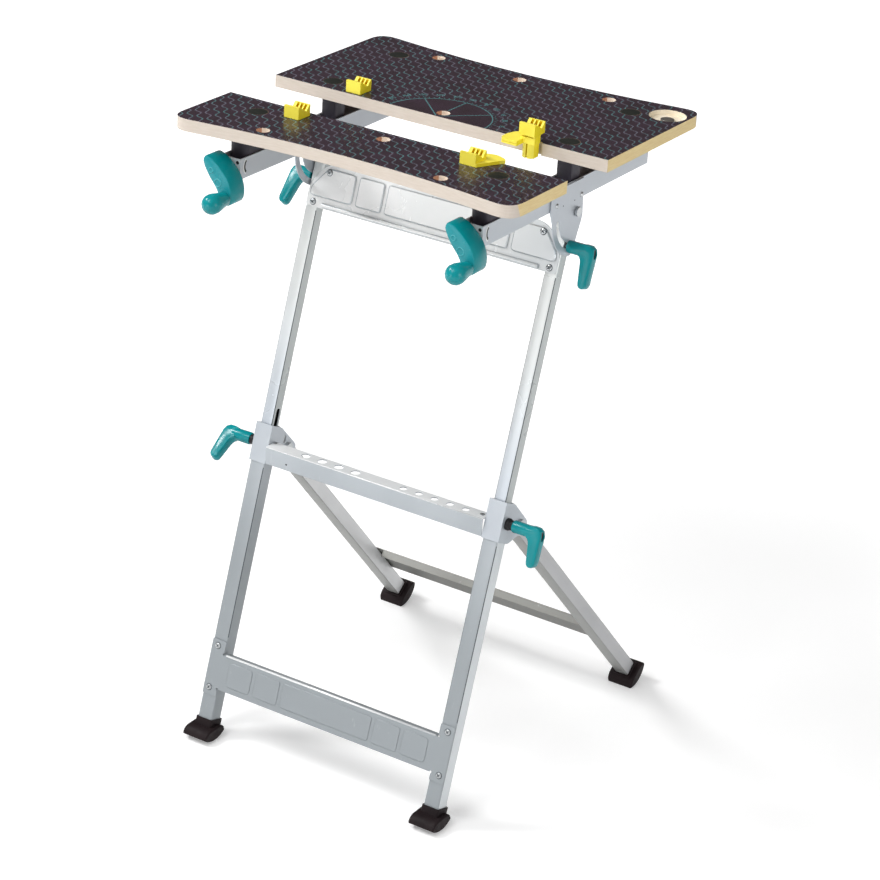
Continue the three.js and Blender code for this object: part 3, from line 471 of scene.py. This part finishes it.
def dress_upper_leg(node):
    """Bright outside, with painted shade: greyer on the flanks, and painted black inside the tube where the slot opens
    it, for the shade in there.
    """
    piece = dress(node, "bright", "bright_side_painted_shade", "black")
    low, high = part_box(node)
    middle = (low.x + high.x) / 2
    floor_point = place(0, LEG_FLOOR_Y, 0)
    for face in piece.data.polygons:
        beside = abs(face.center.x - middle)
        ahead = abs((face.center - floor_point).dot(LEG_OUT))
        # Painted black inside the tube, for the shade there; painted shade on the flanks
        if max(beside, ahead) < UPPER_TUBE_INSIDE * MM and abs(face.normal.dot(LEG_UP)) < 0.5:
            face.material_index = 2
        else:
            face.material_index = 1 if abs(face.normal.x) > 0.8 else 0


# The dogs' yellow, with painted shade: a golden copy for the flanks and a darker one inside the slots
DOG_FINISHES = ("yellow", "yellow_side_painted_shade", "yellow_slot_painted_shade")


def dog_seat(node):
    """Where a dog's block stands on the board, in the middle below it."""
    spot = Vector(next(joint["pos_m"] for joint in frame["joints"] if joint["name"] == f"{node}_swivel"))
    return Vector((spot.x, spot.y, TABLE_Z))


def shade_dog(mesh, seat):
    """Painted shade: golden flanks, and a darker tone inside the slots between the clamping ribs."""
    for face in mesh.polygons:
        x, y, z = (face.center - seat) / MM
        in_slots = abs(x) < 9.6 and 4.2 < y < 11.8 and z > 9
        flank = abs(face.normal.x) > 0.8
        wall = face.normal.y < -0.9 or face.normal.z > 0.95
        if in_slots and (flank or wall):
            face.material_index = 2
        else:
            face.material_index = 1 if flank else 0


class Surface:
    """Points and faces of one small fitting, gathered before it becomes a piece."""

    def __init__(self):
        self.points = []
        self.faces = []

    def put(self, points, faces):
        first = len(self.points)
        self.points += points
        self.faces += [tuple(first + i for i in face) for face in faces]

    def lathe(self, profile, centre, axis, segments=24):
        """A turned form about the axis: profile is [radius, height] in millimetres, starting at the middle."""
        across = axis.orthogonal().normalized()
        up = axis.cross(across)
        points = []
        for radius, height in profile:
            for i in range(segments):
                turn = 2 * math.pi * i / segments
                spread = across * math.cos(turn) + up * math.sin(turn)
                points.append(centre + (spread * radius + axis * height) * MM)
        self.wall(points, len(profile), segments)

    def wall(self, points, rows, count):
        """Joins rows of points, each a closed ring, with quads."""
        faces = []
        for row in range(rows - 1):
            for i in range(count):
                after = (i + 1) % count
                faces.append((row * count + i, row * count + after, (row + 1) * count + after, (row + 1) * count + i))
        self.put(points, faces)

    def screw_head(self, centre, axis, radius=4.4, height=2.6):
        """A pan head with a cross recess, its rings pressed down inside the cross."""
        across = axis.orthogonal().normalized()
        up = axis.cross(across)
        rings, count = 12, 48
        points = []
        for ring in range(rings + 1):
            size = ring / rings
            for i in range(count):
                turn = 2 * math.pi * i / count
                u, v = size * math.cos(turn), size * math.sin(turn)
                lift = height * math.sqrt(max(0.0, 1 - 0.8 * size * size)) if ring < rings else 0.0
                if max(abs(u), abs(v)) < 0.6 and min(abs(u), abs(v)) < 0.2:
                    lift -= 0.3 * height
                points.append(centre + ((across * u + up * v) * radius + axis * lift) * MM)
        self.wall(points, rings + 1, count)

    def cross(self, centre, axis, radius=4.4, height=2.6):
        """The bottom of a screw's cross recess, as dark strips of painted shade."""
        across = axis.orthogonal().normalized()
        for arm, lift in ((across, 0.72), (axis.cross(across), 0.73)):
            middle = centre + axis * (height * lift * MM)
            reach = arm * (0.56 * radius * MM)
            self.ribbon([middle - reach, middle + reach], 0.3 * radius, axis)

    def ribbon(self, path, width, normal):
        """A flat strip along a path of points, width in millimetres."""
        points = []
        for i, point in enumerate(path):
            ahead = path[min(i + 1, len(path) - 1)] - path[max(i - 1, 0)]
            side = normal.cross(ahead).normalized() * (width * MM / 2)
            points += [point - side, point + side]
        self.put(points, [(2 * i, 2 * i + 2, 2 * i + 3, 2 * i + 1) for i in range(len(path) - 1)])

    def prism(self, outline, along, across, up, origin, start, end):
        """Extrudes an outline drawn on the axes (across, up) from start to end along an axis, in millimetres."""
        count = len(outline)
        points = [origin + (across * u + up * v + along * w) * MM for w in (start, end) for u, v in outline]
        faces = [tuple(reversed(range(count))), tuple(range(count, 2 * count))]
        faces += [(i, (i + 1) % count, count + (i + 1) % count, count + i) for i in range(count)]
        self.put(points, faces)

    def piece(self, name, finish, body, slot):
        mesh = bpy.data.meshes.new(name)
        mesh.from_pydata([tuple(point) for point in self.points], [], self.faces)
        mesh.materials.append(FINISH[finish])
        mesh.shade_smooth()
        mesh.update()
        made = bpy.data.objects.new(name, mesh)
        bpy.context.scene.collection.objects.link(made)
        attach(made, body)
        return made


UP = Vector((0, 0, 1))


def plugs():
    """Flush caps over the screws that hold the boards on their posts and sliders."""
    for body, places in PLUGS.items():
        caps, rims = Surface(), Surface()
        for x, y in places:
            top = place(x, y, TABLE_Z / MM)
            rims.lathe([(PLUG_R - 1, 0.03), (PLUG_R + 0.4, 0.03), (PLUG_R + 0.5, -0.2)], top, UP, 36)
            low = top + Vector((-0.4, -0.4, 0)) * MM
            caps.lathe([(0, 0.06), (PLUG_R - 0.6, 0.06), (PLUG_R, -0.2)], low, UP, 36)
        caps.piece(f"screw_caps_{body}", "plug", body, "black")
        rims.piece(f"cap_bores_{body}", "plug_rim", body, "board")


# Strokes of a number: each letter is one bar of a two-square figure
BARS = {"a": ((0, 2), (1, 2)), "b": ((1, 2), (1, 1)), "c": ((1, 1), (1, 0)), "d": ((1, 0), (0, 0)),
        "e": ((0, 0), (0, 1)), "f": ((0, 1), (0, 2)), "g": ((0, 1), (1, 1))}
FIGURES = ["abcdef", "bc", "abged", "abgcd", "fgbc", "afgcd", "afgcde", "abc", "abcdefg", "abcdfg"]


def protractor():
    """Half circle with lines at 45 degrees, a tick every 5 and a number every 15."""
    ink = Surface()
    height = TABLE_Z / MM + PRINT_LIFT

    def spot(radius, angle, along=0.0):
        turn = math.radians(angle)
        return place(radius * math.cos(turn) - along * math.sin(turn),
                     radius * math.sin(turn) + along * math.cos(turn), height)

    ink.ribbon([spot(DIAL_R, angle) for angle in range(1, 180, 2)], DIAL_LINE, UP)
    for angle, start in ((45, 4), (90, 30), (135, 4)):
        ink.ribbon([spot(start, angle), spot(DIAL_R + 9, angle)], DIAL_LINE, UP)
    for angle in range(5, 180, 5):
        ink.ribbon([spot(DIAL_R + 3, angle), spot(DIAL_R + (8 if angle % 15 == 0 else 5.5), angle)], 1.1, UP)
    size, step = 3.2, 5.2
    for angle in range(15, 180, 15):
        text = str(angle)
        for i, figure in enumerate(text):
            left = (len(text) * step - step + size) / 2 - i * step
            for bar in FIGURES[int(figure)]:
                ends = [spot(LABEL_R + size * v, angle, left - size * u) for u, v in BARS[bar]]
                ink.ribbon(ends, 1.1, UP)
    ink.piece("protractor_print", "ink", "table", "teal")


def panel_screws():
    """Cross-recess screws that hold the pressed panels to the legs, each in a dark ring of painted shadow with painted
    shade in its cross, and the fold of the lower panel as a white rod of painted highlight.
    """
    spots = {"base": [(205, 143.5, LOWER_SHEET), (206, 78, LOWER_SHEET)],
             "upper_frame": [(201, 827, UPPER_SHEET), (181, 874, UPPER_FIELD)]}
    # Dark ring round each head and dark strips in its cross: painted shadow and shade
    seat = [(3.6, 0.15), (5.2, 0.15), (5.4, -0.2)]
    for body, places in spots.items():
        heads, shade_marks = Surface(), Surface()
        for side in SIDES.values():
            for x, s, out in places:
                spot = on_leg(side * x, s, out)
                heads.screw_head(spot, LEG_OUT)
                shade_marks.lathe(seat, spot, LEG_OUT)
                shade_marks.cross(spot, LEG_OUT)
        heads.piece(f"panel_screws_{body}", "zinc", body, "zinc")
        shade_marks.piece(f"panel_screw_painted_shadows_{body}", "seat", body, "zinc")
    # White rod along the lower panel's top fold: painted highlight
    fold = Surface()
    fold.lathe([(0, -187), (1.6, -187), (1.6, 187), (0, 187)], on_leg(0, 132.6, LOWER_SHEET - 1), Vector((1, 0, 0)), 14)
    fold.piece("lower_panel_fold_highlight", "panel", "base", "tube")


DOME = [(0, 2.2), (1.6, 2.0), (2.8, 1.5), (3.5, 0.8), (3.8, 0)]
PIT = [(0, 0.04), (1.1, 0.04), (1.3, -0.3)]


def bracket_rivets():
    """Dome rivets through bracket and rail, and the pin marks beside them."""
    domes, pits = Surface(), Surface()
    for side, sign in SIDES.items():
        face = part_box(f"tilt_bracket_{side}")[1 if sign > 0 else 0].x / MM
        axis = Vector((sign, 0, 0))
        for y, z in ((-24, 895.7), (43.6, 894.5)):
            domes.lathe(DOME, place(face, y, z), axis)
        for y in (-6.5, 25):
            pits.lathe(PIT, place(face, y, 891), axis, 12)
    domes.piece("bracket_rivets", "zinc", "table", "zinc")
    pits.piece("bracket_pin_marks", "black", "table", "black")


def rail_marks():
    """Bent stop tabs near the front of the rails, each a dark strip of painted shade in the cut beside a bright strip
    of painted highlight on the lip, and the hole in the corner of each end plate as a dark disc of painted shade.
    """
    slots, lips, holes = Surface(), Surface(), Surface()
    for side in SIDES:
        low, high = (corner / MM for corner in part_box(f"rail_{side}"))
        # Dark disc in each end plate's hole: painted shade
        holes.lathe([(0, 0.1), (2.5, 0.1), (2.8, -0.3)], place(high.x - 4.6, low.y + SHIFT_Y, high.z - 5.5),
                    Vector((0, -1, 0)), 16)
        for face, sign in ((low.x, -1), (high.x, 1)):
            axis = Vector((sign, 0, 0))
            # Dark strip in the cut: painted shade; bright strip on the lip: painted highlight
            for surface, grow, lift in ((slots, 0.0, 0.15), (lips, 2.7, 0.25)):
                path = [place(face + sign * lift, -198 + (5.2 + grow) * math.cos(math.radians(a)),
                              906 + (8.4 + grow) * math.sin(math.radians(a))) for a in range(105, 260, 10)]
                surface.ribbon(path, 3.2 - 0.4 * grow, axis)
    slots.piece("rail_tab_slot_shade", "black", "table", "black")
    lips.piece("rail_tab_lip_highlights", "bright", "table", "bright")
    holes.piece("rail_end_hole_shade", "black", "table", "black")


def lever_caps():
    """Dark oval caps in the elbows of the clamping levers."""
    for stem, s, turns in (("height_lever", 458.3, {"r": 0, "l": 37}), ("tilt_lever", 861.7, {"r": 0, "l": 25})):
        for side, sign in SIDES.items():
            cap = Surface()
            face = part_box(f"{stem}_{side}")[1 if sign > 0 else 0].x / MM - sign * 2.4
            turn = Matrix.Rotation(-LEAN - math.radians(turns[side]), 3, "X")
            hub = on_leg(face, s, 0)
            rows = []
            for size, lift in ((0.0, 0.5), (0.6, 0.4), (0.9, 0.2), (1.0, 0.0)):
                for i in range(28):
                    angle = 2 * math.pi * i / 28
                    local = Vector((sign * lift, 4.3 * size * math.cos(angle), 6.9 * size * math.sin(angle) - 2))
                    rows.append(hub + turn @ local * MM)
            cap.wall(rows, 4, 28)
            cap.piece(f"{stem}_cap_{side}", "black", f"{stem}_{side}_turn", "black")


def leg_edges():
    """Dark lines along the front corners of the leg tubes."""
    for name, body, half, start, end in (("lower_leg_edges", "base", 12.5, 160, 425),
                                         ("upper_leg_edges", "upper_frame", 10, 410, 815)):
        lines = Surface()
        for sign in SIDES.values():
            for corner in (-1, 1):
                x = sign * LEG_X + corner * (half - EDGE_INSET)
                path = [on_leg(x, s, half - EDGE_INSET) for s in (start, end)]
                lines.ribbon(path, EDGE_LINE, (LEG_OUT + Vector((corner, 0, 0))).normalized())
        lines.piece(name, "corner_line", body, "tube")


def crank_rings():
    """Moulded rings on the front faces of the crank arms, in a lighter teal that paints the highlights on their edges.
    """
    for side in SIDES:
        low, high = (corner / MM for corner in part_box(f"rail_{side}"))
        rings = Surface()
        for x, z, radius in ((7, -9, 5.4), (-5, 7, 3.6)):
            rings.lathe([(radius - 0.8, -0.2), (radius - 0.4, 0.6), (radius + 0.4, 0.6), (radius + 0.8, -0.2)],
                        place((low.x + high.x) / 2 + x, CRANK_FRONT_Y, SPINDLE_Z + z), Vector((0, -1, 0)), 28)
        # Lighter teal of the rings: painted highlight
        rings.piece(f"crank_rings_{side}", "teal_ring_painted_highlight", f"crank_{side}_turn", "teal")


def edge_dog():
    """The dog at the jaw's edge: ribbed block over a split peg, with a flap that reaches past the edge."""
    across, back, up = Vector((1, 0, 0)), Vector((0, 1, 0)), Vector((0, 0, 1))
    seat = dog_seat("dog_rear_r")
    block = seat + up * 13.3 * MM
    dog = Surface()
    body = [(-14, 0), (14, 0), (14, 16.8), (12, 16.8), (11.6, 16.4), (11.6, 9.4), (5.2, 9.4), (4.5, 8.6), (-10, 17.6),
            (-14, 17.6)]
    dog.prism(body, across, back, up, block, -12.5, 12.5)
    for start, end in ((-12.5, -7.4), (-3.4, -1), (3, 5.4), (9.4, 12.5)):
        dog.prism([(4.4, 8.4), (12.4, 8.4), (12.4, 16.8), (12, 16.8)], across, back, up, block, start, end)
    dog.prism([(0, -9), (11, -9), (11, 4), (0, 4)], up, across, back, seat, 10, 14)
    dog.prism([(-10.5, -11.6), (12, -11.6), (12, 4), (-10.5, 4)], up, across, back, seat, 1, 10.6)
    left = [(-1.6, -11.1), (-1.6, 9), (-6.4, 9), (-9.2, 6.4), (-9.2, -6.4), (-6.4, -9.2), (-4, -10.5)]
    right = [(0.8, -11.1), (4, -10.5), (6.4, -9.2), (9.2, -6.4), (9.2, 6.4), (6.4, 9), (0.8, 9)]
    for half in (left, right):
        dog.prism(half, up, across, back, seat, -19.8, 1.5)
    dog.prism([(9, 1.5), (12.5, 13), (12.5, 14), (9, 14)], back, across, up, seat, -11, 4)
    flap = [(-31, -28), (-6, -29.5), (-6, -11), (-9, 2), (-9, 12), (-22, 13.5), (-30, 6), (-34, -8), (-34, -22)]
    dog.prism(flap, up, across, back, seat, 0.8, 3.4)
    groove = [(x * 0.965, y * 0.965) for x, y in flap]
    dog.prism(groove, up, across, back, seat, 3.2, 4.4)
    dog.prism(flap, up, across, back, seat, 4.2, 8)
    made = dog.piece("edge_dog", DOG_FINISHES[0], "dog_rear_r_turn", "yellow")
    for name in DOG_FINISHES[1:]:
        made.data.materials.append(FINISH[name])
    made.data.shade_flat()
    # Painted shade on the flanks and in the slots
    shade_dog(made.data, block)
    soften(made, 0.7 * MM)
    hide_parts("dog_rear_r")


def tray_marks():
    """Dimple in the tray's front wall as a dark disc of painted shade, a white rod of painted highlight along its
    folded top edge, and the screw at its right end.
    """
    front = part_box("tool_tray")[0].y / MM + SHIFT_Y
    # Dark disc in the dimple: painted shade
    dimple = Surface()
    dimple.lathe([(0, 0.05), (1.5, 0.05), (1.8, -0.3)], place(-151.5, front, 427), Vector((0, -1, 0)), 16)
    dimple.piece("tray_dimple_shade", "black", "base", "black")
    # White rod along the top edge of the tray's front: painted highlight
    edge = Surface()
    edge.lathe([(0, -188), (0.8, -188), (0.8, 188), (0, 188)], place(0, front + 0.5, 444.5), Vector((1, 0, 0)), 12)
    edge.piece("tray_edge_highlight", "panel", "base", "tube")
    screw = Surface()
    screw.screw_head(place(181, -107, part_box("tool_tray")[1].z / MM), UP, 3.4, 2.0)
    screw.piece("tray_screw", "zinc", "base", "zinc")


def camera():
    data = bpy.data.cameras.new("camera")
    data.lens = CAMERA_LENS
    data.sensor_width = 36
    data.clip_end = 100
    made = bpy.data.objects.new("camera", data)
    rotation = Matrix((CAMERA_RIGHT, CAMERA_UP, CAMERA_BACK)).transposed().to_4x4()
    made.matrix_world = Matrix.Translation(CAMERA_EYE) @ rotation
    bpy.context.scene.collection.objects.link(made)
    bpy.context.scene.camera = made


def studio():
    """White surroundings with a dark card behind the bench, so that the glossy boards stay dark."""
    world = bpy.data.worlds.new("studio")
    bpy.context.scene.world = world
    world.use_nodes = True
    tree = world.node_tree
    new, link = tree.nodes.new, tree.links.new
    back = tree.nodes["Background"]
    back.inputs["Color"].default_value = (1, 1, 1, 1)
    toward = new("ShaderNodeVectorMath")
    toward.operation = "DOT_PRODUCT"
    link(new("ShaderNodeTexCoord").outputs["Generated"], toward.inputs[0])
    toward.inputs[1].default_value = CARD_DIRECTION
    card = new("ShaderNodeMapRange")
    card.interpolation_type = "SMOOTHSTEP"
    link(toward.outputs["Value"], card.inputs["Value"])
    for name, value in (("From Min", 0.1), ("From Max", 0.85), ("To Min", 0.42), ("To Max", 0.08)):
        card.inputs[name].default_value = value
    rays = new("ShaderNodeLightPath")
    level = AMBIENT
    for kind, seen in (("Is Glossy Ray", card.outputs["Result"]), ("Is Transmission Ray", 1.0),
                       ("Is Camera Ray", 1.0)):
        mixed = new("ShaderNodeMix")
        link(rays.outputs[kind], mixed.inputs["Factor"])
        for socket, value in (("A", level), ("B", seen)):
            if isinstance(value, float):
                mixed.inputs[socket].default_value = value
            else:
                link(value, mixed.inputs[socket])
        level = mixed.outputs["Result"]
    link(level, back.inputs["Strength"])
    lamp("key", (-3.0, -1.3, 3.8), 1.3, 105)
    lamp("front", (-0.8, -2.8, 4.0), 2.0, 72)
    lamp("right", (1.7, -0.5, 1.1), 0.9, 6)
    lamp("low_fill", (-0.6, -2.6, 0.9), 1.2, 7)
    floor()


AMBIENT = 0.42
CARD_DIRECTION = Vector((-0.47, 0.78, 0.42)).normalized()


def lamp(name, spot, size, power):
    data = bpy.data.lights.new(name, "AREA")
    data.shape = "DISK"
    data.size = size
    data.energy = power
    made = bpy.data.objects.new(name, data)
    made.location = spot
    aim = Vector((0, 0, 0.7)) - Vector(spot)
    made.rotation_euler = aim.to_track_quat("-Z", "Y").to_euler()
    made.visible_camera = False
    bpy.context.scene.collection.objects.link(made)


def floor():
    """A wide pale floor that reads white where no shadow falls on it."""
    mesh = bpy.data.meshes.new("floor")
    half = 30
    mesh.from_pydata([(-half, -half, 0), (half, -half, 0), (half, half, 0), (-half, half, 0)], [], [(0, 1, 2, 3)])
    made = bpy.data.objects.new("floor", mesh)
    bpy.context.scene.collection.objects.link(made)
    finish = Finish("floor_paint", Roughness=0.9)
    tone = finish.mix(finish.noise(3, 3), colour("#f0f0f0"), colour("#f6f6f6"))
    finish.put("Base Color", tone)
    finish.put("Emission Color", (1, 1, 1, 1))
    rays = finish.node("ShaderNodeLightPath").outputs
    seen = finish.math("MAXIMUM", rays["Is Camera Ray"], rays["Is Glossy Ray"])
    reach = finish.math("SQRT", finish.squares(finish.axis("X"), finish.axis("Y")))
    finish.put("Emission Strength", finish.math("MULTIPLY", seen, finish.span(reach, 0.5, 2.5, 0.25, 0.66)))
    mesh.materials.append(finish.material)


dress_solids()
plugs()
protractor()
panel_screws()
bracket_rivets()
rail_marks()
lever_caps()
tray_marks()
leg_edges()
crank_rings()
edge_dog()
camera()
studio()
bpy.context.scene.view_settings.view_transform = "Standard"
